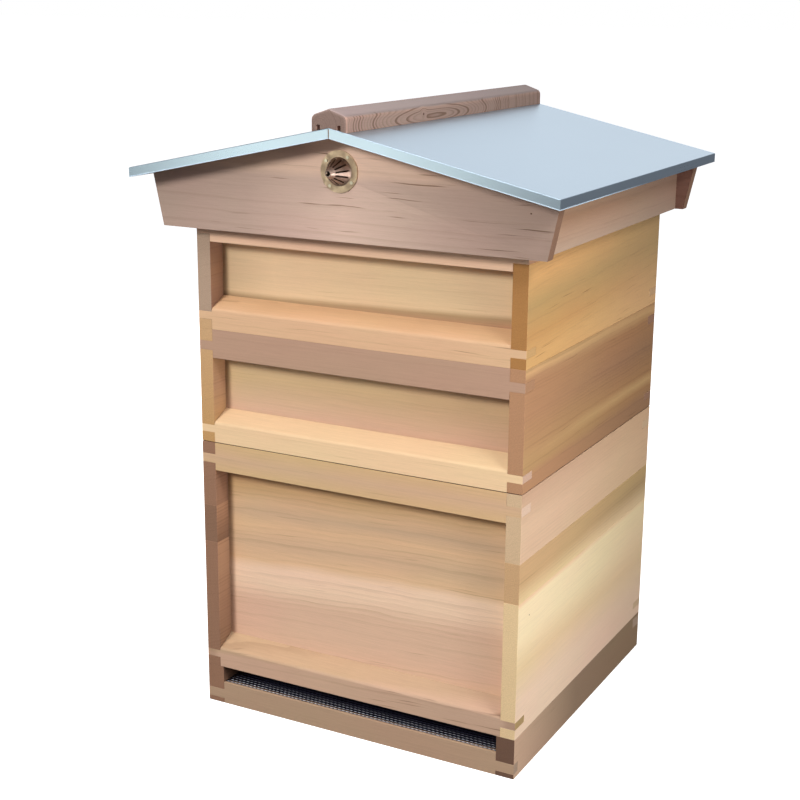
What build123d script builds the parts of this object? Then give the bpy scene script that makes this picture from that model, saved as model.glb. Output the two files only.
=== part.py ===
"""A gabled wooden beehive: open mesh floor, deep brood box, two supers, crown board and roof.

Millimetres. +Z is up, the entrance faces -Y, and the origin is the middle of the base.
"""
import os
from math import atan, cos

from build123d import *

# Plan of the hive
hive_side = 460.0           # outside length and width of floor, boxes and crown board
wall_t = 20.0               # left and right walls of a box
panel_t = 16.0              # recessed front and rear panels
panel_housing = 8.0         # depth of the wall grooves that hold the panels
rail_t = 28.0               # depth of the rails that lie against the panels

# Heights in the stack
floor_h = 54.0
brood_h = 320.0
excluder_t = 1.0
super_h = 152.0
crown_h = 16.0

# Rails, walls and their finger joints
top_rail_h = 38.0
lug_wall_t = 12.0           # thickness of the top rail beside the frame lugs
panel_drop = 17.0           # top of a panel below the top of its box
top_finger_drop = 16.0      # wall block left above the top finger
top_finger_h = 12.0
bottom_rail_front_h = 27.0
bottom_rail_back_h = 40.5   # the upper face of the bottom rail sheds water forwards
bottom_finger_z = 13.0      # wall block left below the bottom finger
bottom_finger_h = 10.0
brood_lower_board_h = 180.0     # each brood wall is three boards glued edge to edge
brood_middle_board_h = 52.0

# Frames, hung front to back on metal runners
frame_pitch = 37.0
top_bar_w = 22.0
top_bar_h = 10.0
frame_top_gap = 1.0         # top bars below the top of their box
lug_end_gap = 2.0           # free length at the end of a lug
bee_space = 8.0             # between the side bars and the panels
brood_frame_gap = 14.0      # free height under the brood frames
super_frame_gap = 11.0      # free height under the super frames
frame_bar_t = 9.0
shoulder_gap = 2.0          # between the wide shoulders that space the frames
shoulder_h = 42.0
wax_t = 4.0
runner_w = 14.0
runner_t = 1.0
runner_pin_from_wall = 60.0
pin_shank_d = 1.6
pin_shank_len = 12.0
pin_head_d = 4.0
pin_head_h = 1.0
pin_play = 0.1              # round a pin in its hole

# Floor
floor_rail_w = 25.0
sill_h = 31.0               # front bar; the entrance is the gap above it
sill_t = 12.0
sill_lip = 4.0              # upright lip of the sill in front of the mesh, which lies on a ledge behind it
mesh_t = 1.6
mesh_kerf_depth = 8.0
mesh_kerf_play = 0.2
mesh_gaps = 17              # gaps along each side of the net
mesh_bar = 3.0
floor_finger_z = 6.5
floor_finger_h = 13.5
tray_z = 8.0
tray_t = 4.0
tray_groove_depth = 8.0
tray_play = 0.5
tray_headroom = 1.0         # free height over the tray in its groove
tray_mouth_gap = 5.0        # between the tray and the rear rail above it
tray_pull_depth = 12.0

# Queen excluder
slot_len = 42.0
slot_w = 4.2
slot_pitch_x = 52.0
slot_pitch_y = 12.0
excluder_border = 10.0
excluder_inset = 1.0

# Crown board
crown_bar_w = 20.0
crown_panel_t = 6.0
crown_panel_z = 5.0
crown_panel_housing = 6.0
feed_slot_len = 90.0
feed_slot_w = 30.0

# Roof
roof_forward = 4.0          # the roof sits this far forward in its play
roof_play = 5.0             # free space on each side round the boxes
roof_board_t = 16.0
roof_skirt = 34.0           # boards hang this far below the top of the crown board
gable_ear = 11.0            # gable beyond the side board at the lower edge
gable_flare = 0.216         # outward lean of the gable ends
gable_corner_r = 3.0
eave_h = 74.5               # top of the sheet at the eave, from the lower edge of the roof
ridge_rise = 62.0
eave_overhang = 37.5        # sheet beyond the side boards
verge_overhang = 33.0       # sheet beyond the gables
sheet_t = 0.8
lip_h = 12.0
lip_corner_r = 4.0
lip_slit_w = 1.4
deck_t = 10.0
cleat_w = 20.0
cleat_h = 20.0
beam_w = 47.5
beam_shoulder_h = 19.0      # above the sheet at the side of the beam
beam_crest_h = 8.0          # crest above the shoulders
beam_round_r = 4.0
beam_kerf_w = 4.6
beam_kerf_spacing = 27.4
beam_kerf_h = 6.0

# Cone vents in the gables
vent_x = -4.5
vent_below_peak = 42.0
vent_bore_d = 34.0
vent_flange_w = 8.0
vent_flange_t = 1.5
vent_play = 0.3
vent_spigot_len = 8.0
cone_len = 27.0
cone_tip_d = 8.0
cone_wall = 1.0
cone_slots = 12
cone_slot_start = 8.0
cone_slot_w = 2.0
cone_slot_from = 4.0
cone_slot_to = 21.0
vent_pins_each = 4
vent_pin_start = 55.0

# Places worked out from the sizes above
half = hive_side / 2
wall_in = half - wall_t
panel_out = half - rail_t
panel_in = panel_out - panel_t
brood_z = floor_h
excluder_z = brood_z + brood_h
lower_super_z = excluder_z + excluder_t
upper_super_z = lower_super_z + super_h
crown_z = upper_super_z + super_h
roof_rest_z = crown_z + crown_h
roof_z = roof_rest_z - roof_skirt
roof_in = half + roof_play
roof_out = roof_in + roof_board_t
roof_half_w = roof_out + eave_overhang
roof_half_len = roof_out + verge_overhang
eave_z = roof_z + eave_h
ridge_z = eave_z + ridge_rise
pitch = ridge_rise / roof_half_w
sheet_drop = sheet_t / cos(atan(pitch))
deck_drop = deck_t / cos(atan(pitch))
peak_z = ridge_z - sheet_drop - deck_drop
sides = {"left": -1, "right": 1}
ends = {"front": -1, "rear": 1}

os.makedirs("parts", exist_ok=True)


def save(piece, label):
    """Label a finished piece and write it."""
    piece.part.label = label
    export_step(piece.part, f"parts/{label}.step")


def block(x, y, z, mode=Mode.ADD):
    """A square-cut block between two values on each axis."""
    with Locations((sum(x) / 2, sum(y) / 2, sum(z) / 2)):
        Box(abs(x[1] - x[0]), abs(y[1] - y[0]), abs(z[1] - z[0]), mode=mode)


def prism(plane, points, length, corners=(), radius=0.0):
    """A straight prism on an outline, with the corners at the given points rounded."""
    with BuildSketch(plane, mode=Mode.PRIVATE) as outline:
        with BuildLine():
            Polyline(*points, close=True)
        make_face()
        if corners:
            near = radius / 10
            places = [plane.from_local_coords(Vector(*corner, 0)) for corner in corners]
            picked = [v for v in outline.vertices() if min((Vector(v) - p).length for p in places) < near]
            fillet(picked, radius=radius)
    extrude(outline.sketch, amount=length)


def roof_top(x):
    """Height of the top of the roof sheet."""
    return ridge_z - pitch * abs(x)


def deck_under(x):
    """Height of the underside of the deck."""
    return peak_z - pitch * abs(x)


# Floor

mesh_z = sill_h - mesh_t - mesh_kerf_play
mesh_kerf = (mesh_z, sill_h)
floor_in = half - floor_rail_w
sill_in = half - sill_t
mesh_kerf_end = floor_in + mesh_kerf_depth
mesh_kerf_front = sill_lip - half
front_finger = (floor_finger_z, floor_finger_z + floor_finger_h)
rear_finger_z = (mesh_kerf[1] + floor_h - floor_finger_h) / 2
rear_finger = (rear_finger_z, rear_finger_z + floor_finger_h)
tray_top = tray_z + tray_t
tray_mouth_h = tray_top + tray_mouth_gap


def floor_side_rail(side):
    inner = side * floor_in
    outer = side * half
    with BuildPart() as rail:
        block((inner, outer), (-half, half), (0, floor_h))
        block((inner, outer), (-half, -sill_in), front_finger, Mode.SUBTRACT)
        block((inner, outer), (floor_in, half), rear_finger, Mode.SUBTRACT)
        block((inner, side * mesh_kerf_end), (mesh_kerf_front, mesh_kerf_end), mesh_kerf, Mode.SUBTRACT)
        block((inner, inner + side * tray_groove_depth), (-sill_in, half),
              (tray_z, tray_top + tray_headroom), Mode.SUBTRACT)
    return rail


def floor_cross_bar(depth, height, finger):
    """A bar between the side rails, whose fingers pass through them."""
    block((-floor_in, floor_in), depth, height)
    block((-half, half), depth, finger)


for name, side in sides.items():
    save(floor_side_rail(side), f"floor_{name}_rail")

with BuildPart() as floor_front_bar:
    floor_cross_bar((-half, -sill_in), (0, sill_h), front_finger)
    block((-floor_in, floor_in), (mesh_kerf_front, -sill_in), mesh_kerf, Mode.SUBTRACT)
save(floor_front_bar, "floor_front_bar")

with BuildPart() as floor_rear_rail:
    floor_cross_bar((floor_in, half), (tray_mouth_h, floor_h), rear_finger)
    block((-floor_in, floor_in), (floor_in, mesh_kerf_end), mesh_kerf, Mode.SUBTRACT)
save(floor_rear_rail, "floor_rear_rail")

mesh_w = 2 * (mesh_kerf_end - mesh_kerf_play)
mesh_front = mesh_kerf_front + mesh_kerf_play
mesh_rear = mesh_kerf_end - mesh_kerf_play
mesh_len = mesh_rear - mesh_front
mesh_pitch_x = (mesh_w - mesh_bar) / mesh_gaps
mesh_pitch_y = (mesh_len - mesh_bar) / mesh_gaps
with BuildPart() as floor_mesh:
    with BuildSketch(Plane((0, (mesh_front + mesh_rear) / 2, mesh_z))):
        Rectangle(mesh_w, mesh_len)
        with GridLocations(mesh_pitch_x, mesh_pitch_y, mesh_gaps, mesh_gaps):
            Rectangle(mesh_pitch_x - mesh_bar, mesh_pitch_y - mesh_bar, mode=Mode.SUBTRACT)
    extrude(amount=mesh_t)
save(floor_mesh, "floor_mesh")

tray_half_w = floor_in + tray_groove_depth - tray_play
with BuildPart() as tray:
    block((-tray_half_w, tray_half_w), (tray_play - sill_in, half), (tray_z, tray_top))
save(tray, "inspection_tray")

pull_half_w = floor_in - tray_play
with BuildPart() as tray_pull:
    block((-pull_half_w, pull_half_w), (half - tray_pull_depth, half), (tray_top, tray_mouth_h - tray_play))
save(tray_pull, "tray_pull")


# Boxes

def box_wall(side, base, height, board_heights):
    """A side wall, notched for the rail fingers, grooved for the panels and cut into its boards."""
    top = base + height
    finger_top = top - top_finger_drop
    finger_z = base + bottom_finger_z
    across = (side * wall_in, side * half)
    with BuildPart() as wall:
        block(across, (-half, half), (base, top))
        for end in ends.values():
            depth = (end * panel_out, end * half)
            block(across, depth, (finger_top - top_finger_h, finger_top), Mode.SUBTRACT)
            block(across, depth, (finger_z, finger_z + bottom_finger_h), Mode.SUBTRACT)
            block((side * wall_in, side * (wall_in + panel_housing)), (end * panel_in, end * panel_out),
                  (base, top - panel_drop), Mode.SUBTRACT)
        seam = base
        for board_height in board_heights:
            seam += board_height
            split(bisect_by=Plane.XY.offset(seam), keep=Keep.BOTH)
    return wall


def runner_pin_places(end, z):
    """Pin places along the runner at one end of a box, on the outer side of its upright edge."""
    y = end * (panel_out - runner_w / 4)
    reach = wall_in - runner_pin_from_wall
    return [(x, y, z) for x in (-reach, 0, reach)]


def box_panel(end, base, height):
    top = base + height - panel_drop
    width = wall_in + panel_housing
    with BuildPart() as panel:
        block((-width, width), (end * panel_in, end * panel_out), (base, top))
        with Locations(*runner_pin_places(end, top)):
            Cylinder(pin_shank_d / 2 + pin_play, pin_shank_len,
                     align=(Align.CENTER, Align.CENTER, Align.MAX), mode=Mode.SUBTRACT)
    return panel


def box_top_rail(end, base, height):
    top = base + height
    finger_top = top - top_finger_drop
    depth = (end * panel_out, end * half)
    with BuildPart() as rail:
        block((-wall_in, wall_in), depth, (top - top_rail_h, top))
        block((-wall_in, wall_in), (end * panel_out, end * (half - lug_wall_t)),
              (top - panel_drop, top), Mode.SUBTRACT)
        for side in sides.values():
            block((side * wall_in, side * half), depth, (finger_top - top_finger_h, finger_top))
    return rail


def box_bottom_rail(end, base):
    finger_z = base + bottom_finger_z
    profile = (
        (end * half, base),
        (end * panel_out, base),
        (end * panel_out, base + bottom_rail_back_h),
        (end * half, base + bottom_rail_front_h),
    )
    with BuildPart() as rail:
        prism(Plane.YZ.offset(-wall_in), profile, 2 * wall_in)
        for side in sides.values():
            block((side * wall_in, side * half), (end * panel_out, end * half),
                  (finger_z, finger_z + bottom_finger_h))
    return rail


def box_runners(base, height):
    """Metal strips on the panels, each with an upright edge that the lugs rest on."""
    bottom = base + height - panel_drop
    lug_z = base + height - frame_top_gap - top_bar_h
    edge_out = panel_out - (runner_w - runner_t) / 2
    with BuildPart() as runners:
        for end in ends.values():
            block((-wall_in, wall_in), (end * (panel_out - runner_w), end * panel_out),
                  (bottom, bottom + runner_t))
            block((-wall_in, wall_in), (end * (edge_out - runner_t), end * edge_out), (bottom, lug_z))
            with Locations(*runner_pin_places(end, bottom)):
                Cylinder(pin_shank_d / 2 + pin_play, runner_t,
                         align=(Align.CENTER, Align.CENTER, Align.MIN), mode=Mode.SUBTRACT)
    return runners


def pin():
    """A round-headed pin whose head sits on the current plane."""
    Cylinder(pin_head_d / 2, pin_head_h, align=(Align.CENTER, Align.CENTER, Align.MIN))
    Cylinder(pin_shank_d / 2, pin_shank_len, align=(Align.CENTER, Align.CENTER, Align.MAX))


def box_runner_pins(base, height):
    seat = base + height - panel_drop + runner_t
    with BuildPart() as pins:
        for end in ends.values():
            with Locations(*runner_pin_places(end, seat)):
                pin()
    return pins


frame_count = int(2 * wall_in // frame_pitch)
top_bar_len = 2 * (half - lug_wall_t - lug_end_gap)
frame_len = 2 * (panel_in - bee_space)
shoulder_w = frame_pitch - shoulder_gap


def frame_places():
    """The frames of one box, side by side."""
    return GridLocations(frame_pitch, frame_pitch, frame_count, 1)


def box_frames(base, height, gap):
    """Frames with lugged top bars, shouldered side bars and bottom bars."""
    top = base + height - frame_top_gap
    bottom = base + gap
    bar_y = (frame_len - frame_bar_t) / 2
    standing = (Align.CENTER, Align.CENTER, Align.MIN)
    hanging = (Align.CENTER, Align.CENTER, Align.MAX)
    with BuildPart() as frames:
        with frame_places():
            with Locations((0, 0, top)):
                Box(top_bar_w, top_bar_len, top_bar_h, align=hanging)
            with Locations((0, 0, bottom)):
                Box(top_bar_w, frame_len, frame_bar_t, align=standing)
            with Locations((0, -bar_y, bottom), (0, bar_y, bottom)):
                Box(top_bar_w, frame_bar_t, top - bottom, align=standing)
            with Locations((0, -bar_y, top - top_bar_h), (0, bar_y, top - top_bar_h)):
                Box(shoulder_w, frame_bar_t, shoulder_h, align=hanging)
    return frames


def box_foundation(base, height, gap):
    """Wax sheets that fill the frames."""
    bottom = base + gap + frame_bar_t
    top = base + height - frame_top_gap - top_bar_h
    with BuildPart() as sheets:
        with frame_places():
            with Locations((0, 0, (bottom + top) / 2)):
                Box(wax_t, frame_len - 2 * frame_bar_t, top - bottom)
    return sheets


boxes = {
    "brood": (brood_z, brood_h, brood_frame_gap, (brood_lower_board_h, brood_middle_board_h)),
    "lower_super": (lower_super_z, super_h, super_frame_gap, ()),
    "upper_super": (upper_super_z, super_h, super_frame_gap, ()),
}
for box, (base, height, gap, board_heights) in boxes.items():
    for name, side in sides.items():
        save(box_wall(side, base, height, board_heights), f"{box}_{name}_wall")
    for name, end in ends.items():
        save(box_panel(end, base, height), f"{box}_{name}_panel")
        save(box_top_rail(end, base, height), f"{box}_{name}_top_rail")
        save(box_bottom_rail(end, base), f"{box}_{name}_bottom_rail")
    save(box_runners(base, height), f"{box}_runners")
    save(box_runner_pins(base, height), f"{box}_runner_pins")
    save(box_frames(base, height, gap), f"{box}_frames")
    save(box_foundation(base, height, gap), f"{box}_foundation")

excluder_side = hive_side - 2 * excluder_inset
slotted_side = excluder_side - 2 * excluder_border
slot_columns = int(slotted_side // slot_pitch_x)
slot_rows = int(slotted_side // slot_pitch_y)
with BuildPart() as queen_excluder:
    with BuildSketch(Plane.XY.offset(excluder_z)):
        Rectangle(excluder_side, excluder_side)
        with GridLocations(slot_pitch_x, slot_pitch_y, slot_columns, slot_rows):
            Rectangle(slot_len, slot_w, mode=Mode.SUBTRACT)
    extrude(amount=excluder_t)
save(queen_excluder, "queen_excluder")


# Crown board

crown_in = half - crown_bar_w
crown_panel_half = crown_in + crown_panel_housing
crown_groove = (crown_z + crown_panel_z, crown_z + crown_panel_z + crown_panel_t)

with BuildPart() as crown_panel:
    with BuildSketch(Plane.XY.offset(crown_groove[0])):
        Rectangle(2 * crown_panel_half, 2 * crown_panel_half)
        SlotOverall(feed_slot_len, feed_slot_w, mode=Mode.SUBTRACT)
    extrude(amount=crown_panel_t)
save(crown_panel, "crown_panel")

with BuildPart() as crown_side_bars:
    for side in sides.values():
        block((side * crown_in, side * half), (-half, half), (crown_z, roof_rest_z))
        block((side * crown_in, side * crown_panel_half), (-crown_panel_half, crown_panel_half),
              crown_groove, Mode.SUBTRACT)
save(crown_side_bars, "crown_side_bars")

with BuildPart() as crown_end_bars:
    for end in ends.values():
        block((-crown_in, crown_in), (end * crown_in, end * half), (crown_z, roof_rest_z))
        block((-crown_in, crown_in), (end * crown_in, end * crown_panel_half), crown_groove, Mode.SUBTRACT)
save(crown_end_bars, "crown_end_bars")


# Roof

vent_z = peak_z - vent_below_peak
vent_bore_r = vent_bore_d / 2
vent_pin_r = vent_bore_r + vent_flange_w / 2


def vent_pin_places():
    """The pins of one vent, on its flange."""
    return PolarLocations(vent_pin_r, vent_pins_each, start_angle=vent_pin_start)


def cross_section(y):
    """A plane across the roof that faces forwards, with its axes along X and Z of the hive."""
    return Plane(origin=(0, y - roof_forward, 0), x_dir=(1, 0, 0), z_dir=(0, -1, 0))


def vent_face(end, reach):
    """A plane at a vent, facing out of the roof."""
    return Plane(origin=(vent_x, end * reach - roof_forward, vent_z), x_dir=(1, 0, 0), z_dir=(0, end, 0))


def gable(end):
    foot_x = roof_out + gable_ear
    shoulder_x = (foot_x + gable_flare * (peak_z - roof_z)) / (1 + gable_flare * pitch)
    feet = ((foot_x, roof_z), (-foot_x, roof_z))
    shoulder_z = deck_under(shoulder_x)
    outline = (*feet, (-shoulder_x, shoulder_z), (0, peak_z), (shoulder_x, shoulder_z))
    back_y = -roof_in if end < 0 else roof_out
    with BuildPart() as board:
        prism(cross_section(back_y), outline, roof_board_t, corners=feet, radius=gable_corner_r)
        with Locations(vent_face(end, roof_out)):
            Cylinder(vent_bore_r + vent_play, roof_board_t,
                     align=(Align.CENTER, Align.CENTER, Align.MAX), mode=Mode.SUBTRACT)
            with vent_pin_places():
                Cylinder(pin_shank_d / 2 + pin_play, pin_shank_len,
                         align=(Align.CENTER, Align.CENTER, Align.MAX), mode=Mode.SUBTRACT)
    return board


def cone_vent(end):
    """A brass bee escape: flange, spigot and slotted cone, turned about the vent's axis."""
    bore_in = vent_bore_r - cone_wall
    flange_r = vent_bore_r + vent_flange_w
    tip_r = cone_tip_d / 2
    profile = (
        (bore_in, -vent_spigot_len),
        (vent_bore_r, -vent_spigot_len),
        (vent_bore_r, 0),
        (flange_r, 0),
        (flange_r, vent_flange_t),
        (vent_bore_r, vent_flange_t),
        (tip_r, cone_len),
        (tip_r - cone_wall, cone_len),
        (bore_in, vent_flange_t),
    )
    face = vent_face(end, roof_out)
    with BuildPart() as vent:
        with BuildSketch(Plane(face.origin, x_dir=face.x_dir, z_dir=-face.y_dir)):
            with BuildLine():
                Polyline(*profile, close=True)
            make_face()
        revolve(axis=Axis(face.origin, face.z_dir))
        with Locations(face):
            with PolarLocations(vent_bore_r / 2, cone_slots, start_angle=cone_slot_start):
                with Locations((0, 0, cone_slot_from)):
                    Box(vent_bore_r, cone_slot_w, cone_slot_to - cone_slot_from,
                        align=(Align.CENTER, Align.CENTER, Align.MIN), mode=Mode.SUBTRACT)
            with vent_pin_places():
                Cylinder(pin_shank_d / 2 + pin_play, vent_flange_t,
                         align=(Align.CENTER, Align.CENTER, Align.MIN), mode=Mode.SUBTRACT)
    return vent


for name, end in ends.items():
    save(gable(end), f"roof_{name}_gable")
    save(cone_vent(end), f"{name}_cone_vent")

with BuildPart() as vent_pins:
    for end in ends.values():
        with Locations(vent_face(end, roof_out + vent_flange_t)):
            with vent_pin_places():
                pin()
save(vent_pins, "vent_pins")


def side_board(side):
    section = (
        (side * roof_in, roof_z),
        (side * roof_out, roof_z),
        (side * roof_out, deck_under(roof_out)),
        (side * roof_in, deck_under(roof_in)),
    )
    with BuildPart() as board:
        prism(cross_section(roof_in), section, 2 * roof_in)
    return board


def deck(side):
    edge = roof_half_w - sheet_t
    end_y = roof_half_len - sheet_t
    section = (
        (0, peak_z),
        (0, ridge_z - sheet_drop),
        (side * edge, roof_top(edge) - sheet_drop),
        (side * edge, deck_under(edge)),
    )
    with BuildPart() as board:
        prism(cross_section(end_y), section, 2 * end_y)
    return board


for name, side in sides.items():
    save(side_board(side), f"roof_{name}_side_board")
    save(deck(side), f"roof_{name}_deck")

with BuildPart() as roof_cleats:
    for end in ends.values():
        block((-roof_in, roof_in),
              (end * (roof_in - cleat_w) - roof_forward, end * roof_in - roof_forward),
              (roof_rest_z, roof_rest_z + cleat_h))
save(roof_cleats, "roof_cleats")

verge = (-roof_half_len - roof_forward, roof_half_len - roof_forward)
lip_z = eave_z - lip_h
slopes = (
    (-roof_half_w, eave_z),
    (0, ridge_z),
    (roof_half_w, eave_z),
    (roof_half_w, eave_z - sheet_drop),
    (0, ridge_z - sheet_drop),
    (-roof_half_w, eave_z - sheet_drop),
)
end_feet = ((-roof_half_w, lip_z), (roof_half_w, lip_z))
end_lip = (
    end_feet[0],
    (-roof_half_w, eave_z),
    (0, ridge_z),
    (roof_half_w, eave_z),
    end_feet[1],
    (0, ridge_z - lip_h),
)
eave_feet = ((verge[0], lip_z), (verge[1], lip_z))
eave_lip = (*eave_feet, (verge[1], eave_z), (verge[0], eave_z))
with BuildPart() as roof_sheet:
    prism(cross_section(roof_half_len), slopes, 2 * roof_half_len)
    for back_y in (sheet_t - roof_half_len, roof_half_len):
        prism(cross_section(back_y), end_lip, sheet_t, corners=end_feet, radius=lip_corner_r)
        block((-lip_slit_w / 2, lip_slit_w / 2), (back_y - roof_forward, back_y - sheet_t - roof_forward),
              (ridge_z - 2 * lip_h, roof_top(lip_slit_w / 2) - sheet_drop), Mode.SUBTRACT)
    for edge in (-roof_half_w, roof_half_w - sheet_t):
        prism(Plane.YZ.offset(edge), eave_lip, sheet_t, corners=eave_feet, radius=lip_corner_r)
save(roof_sheet, "roof_sheet")

beam_side = beam_w / 2
beam_shoulder_z = roof_top(beam_side) + beam_shoulder_h
beam_shoulders = ((-beam_side, beam_shoulder_z), (beam_side, beam_shoulder_z))
beam_section = (
    (-beam_side, roof_top(beam_side)),
    beam_shoulders[0],
    (0, beam_shoulder_z + beam_crest_h),
    beam_shoulders[1],
    (beam_side, roof_top(beam_side)),
    (0, ridge_z),
)
with BuildPart() as ridge_beam:
    prism(cross_section(roof_half_len), beam_section, 2 * roof_half_len,
          corners=beam_shoulders, radius=beam_round_r)
    for side in sides.values():
        kerf_x = side * beam_kerf_spacing / 2
        kerf_top = roof_top(kerf_x) + beam_kerf_h
        block((kerf_x - beam_kerf_w / 2, kerf_x + beam_kerf_w / 2), verge,
              (kerf_top - 2 * beam_kerf_h, kerf_top), Mode.SUBTRACT)
save(ridge_beam, "ridge_beam")
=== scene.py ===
"""Looks of a gabled wooden beehive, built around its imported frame.

Metres, +Z up, entrance towards -Y. The figure of a material is worked out in millimetres, in wood along,
across and through a board.
"""

import random
from dataclasses import dataclass, replace
from math import cos, pi, radians, sin

import bpy
from mathutils import Matrix, Vector


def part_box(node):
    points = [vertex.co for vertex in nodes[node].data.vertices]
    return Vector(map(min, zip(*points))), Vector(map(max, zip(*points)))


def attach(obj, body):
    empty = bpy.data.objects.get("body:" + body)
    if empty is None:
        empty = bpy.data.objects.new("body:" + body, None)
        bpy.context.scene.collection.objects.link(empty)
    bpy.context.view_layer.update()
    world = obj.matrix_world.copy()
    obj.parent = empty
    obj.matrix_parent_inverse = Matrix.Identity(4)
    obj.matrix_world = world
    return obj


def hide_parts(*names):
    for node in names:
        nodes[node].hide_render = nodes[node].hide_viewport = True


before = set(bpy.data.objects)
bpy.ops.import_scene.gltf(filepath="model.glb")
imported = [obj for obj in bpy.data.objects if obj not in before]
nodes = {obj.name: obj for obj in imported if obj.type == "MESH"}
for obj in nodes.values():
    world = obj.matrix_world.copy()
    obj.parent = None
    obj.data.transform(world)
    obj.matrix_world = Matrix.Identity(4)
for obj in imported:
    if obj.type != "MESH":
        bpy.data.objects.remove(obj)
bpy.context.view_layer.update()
scene = bpy.context.scene

MM = 0.001
UP = Vector((0.0, 0.0, 1.0))
WHITE = (1.0, 1.0, 1.0)

# Camera at the photograph's viewpoint
CAMERA_AZIMUTH = radians(27.935)
CAMERA_ELEVATION = radians(15.249)
CAMERA_ROLL = radians(0.473)
CAMERA_PLACE = Vector((0.8896, -1.7846, 0.9493))
CAMERA_LENS = 67.448
CAMERA_SENSOR = 36.0

# Eased edges: widths, the least turn that is eased and the largest at which faces are joined
WOOD_EDGE = 0.45 * MM
SEAM_EDGE = 0.35 * MM
WELD_GAP = 0.01 * MM
EASED_TURN = radians(35)
FLAT_TURN = radians(0.5)
EASE_STEPS = 2
ROUND_STEPS = 4
NEAR = 0.1 * MM  # a vertex this near to a place counts as there

# Bottom rails: height of their upright front, and width of the rounding above it
RAIL_FRONT = 27.0 * MM
BROW_WIDTH = 3.0 * MM

# Ridge beam: rounding of its shoulders and ends, and the share of its half width that its kerfs keep to
SHOULDER_ROUND = 5.0 * MM
BEAM_ROUND = 3.5 * MM
KERF_SHARE = 0.75

# Seams between the boards of a brood wall, from its lower edge
BROOD_SEAMS = (180.0 * MM, 232.0 * MM)

# Thickness of the side bars and top bars of the frames
FRAME_SIDE = 9.0 * MM
FRAME_TOP = 10.0 * MM

# Roof sheet: lips, rounding of the folds, rolled hem and the slit in it under the ridge
SHEET_LIP = 12.0 * MM
FOLD_WIDTH = 0.8 * MM
HEM_RADIUS = 1.0 * MM
HEM_TURN = 3.0 * MM
HEM_STEPS = 6
HEM_ROUNDNESS = 3
SLIT_HALF = 0.7 * MM

# Woven floor mesh: spacing of the wires along X and Y; radii and sides of those across and front to back
WEAVE_STEPS = (3.05 * MM, 5.6 * MM)
WIRE_RADII = (0.55 * MM, 0.24 * MM)
WIRE_SIDES = (6, 3)

# Where most of a noise lies, and how squarely a face looks up before it counts as level
NOISE_MIDDLE = (0.3, 0.7)
LEVEL_CUT = (0.3, 0.7)

# Figure of the wood. A scale is one over the length of a feature in mm, along the grain and across it.
# A cut is the range of a value over which its effect sets in
SEED_STEP = 1731.0  # between the places of two seeds in the noise, mm
SWAY_SCALE = (0.0035, 0.012)
RIPPLE_SCALE = (0.02, 0.05)
RIPPLE_SHARE = 0.3  # of the sway
WANDER_THROUGH = 0.5  # share of the wander that also goes through the board
KNOT_LENGTH = 0.8  # share of a length along the grain that counts round a knot
KNOT_FALL = 0.12
KNOT_PUSH = 0.75
KNOT_CUT = (0.5, 1.0)
DRIFT_SCALE = 0.045  # of the change in the spacing of the rings
DRIFT_TURNS = 1.6  # largest shift of a ring by that change
LATE_RISE = (0.35, 0.9)  # where in a ring its dark line sets in
LATE_FALL = (0.93, 1.0)  # where it ends
FAINT_CUT = (0.2, 1.0)  # spread of ring lines from faint to full
FAINT_LEAST = 0.1
PATCH_SCALE = (0.004, 0.06)  # patches with fainter lines, along the grain and across the rings
PATCH_CUT = (0.35, 0.65)
PATCH_LEAST = 0.35
STREAK_SCALE = (0.008, 2.2)  # along the grain in 1/mm, and per ring
STREAK_CUT = (0.64, 0.8)
FIBRE_SCALE = (0.02, 0.7)
FINE_SCALE = (0.15, 3.5)
CLOUD_SCALE = (0.006, 0.012)
PORE_SCALE = 0.7

# Tints that rings, streaks, knots and the painted corner shade multiply onto the wood, and the two tints of
# its clouds
RING_TINT = (0.53, 0.46, 0.39)
STREAK_TINT = (0.48, 0.42, 0.36)
KNOT_TINT = (0.28, 0.2, 0.15)
CORNER_SHADE_TINT = (0.42, 0.34, 0.3)
CORNER_SHADE_REACH = (8.0, 20.0)  # from the ends of a board, where the painted corner shade fades out, mm
ROSY_TINT = (1.02, 0.985, 0.97)
SUNNY_TINT = (1.0, 1.01, 0.97)

# Surface of the wood
END_CUT = (0.55, 0.9)  # how squarely a face looks along the board before it shows end grain
END_FIGURE = 0.35  # share of the rings and streaks on end grain
TOP_CUT = (0.4, 0.8)  # how squarely a face looks up before its rings grow quiet
FIBRE_DEPTH = 0.24
FINE_DEPTH = 0.14
PORE_DEPTH = 0.5
WOOD_ROUGH = 0.62
FIBRE_ROUGH = 0.3
RING_ROUGH = -0.1
FINE_RELIEF = 0.6  # against the relief of the fibres
RING_RELIEF = 0.5
WOOD_RELIEF = 0.25 * MM
WOOD_SPECULAR = 0.3

# Roofing sheet
SHEET_TONES = ((0.59, 0.75, 0.88), (0.64, 0.79, 0.91))
SHEET_ROUGH = (0.3, 0.34)
SHEET_CLOUD_SCALE = 0.006
LINE_SCALE = (0.004, 0.9)  # of the rolling lines, along and across
LINE_SHARE = 0.3  # of the lines in the tone
LINE_ROUGH = 0.05
LINE_RELIEF = 0.01  # against the relief of the waves
WAVE_SCALE = 0.008
WAVE_RELIEF = 0.2 * MM
LIP_GLOSS = 0.86  # roughness of the lips against that of the slopes
HIGHLIGHT_EDGE = (0.7, 1.5)  # heights over the lips' lower edge where its painted highlight ends, mm
HIGHLIGHT_FADE = (-210.0, 30.0)  # where the painted highlight fades out from front to back, mm
HIGHLIGHT_SHARE = 0.9  # of the metal's mirroring that the painted highlight lacks
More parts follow.
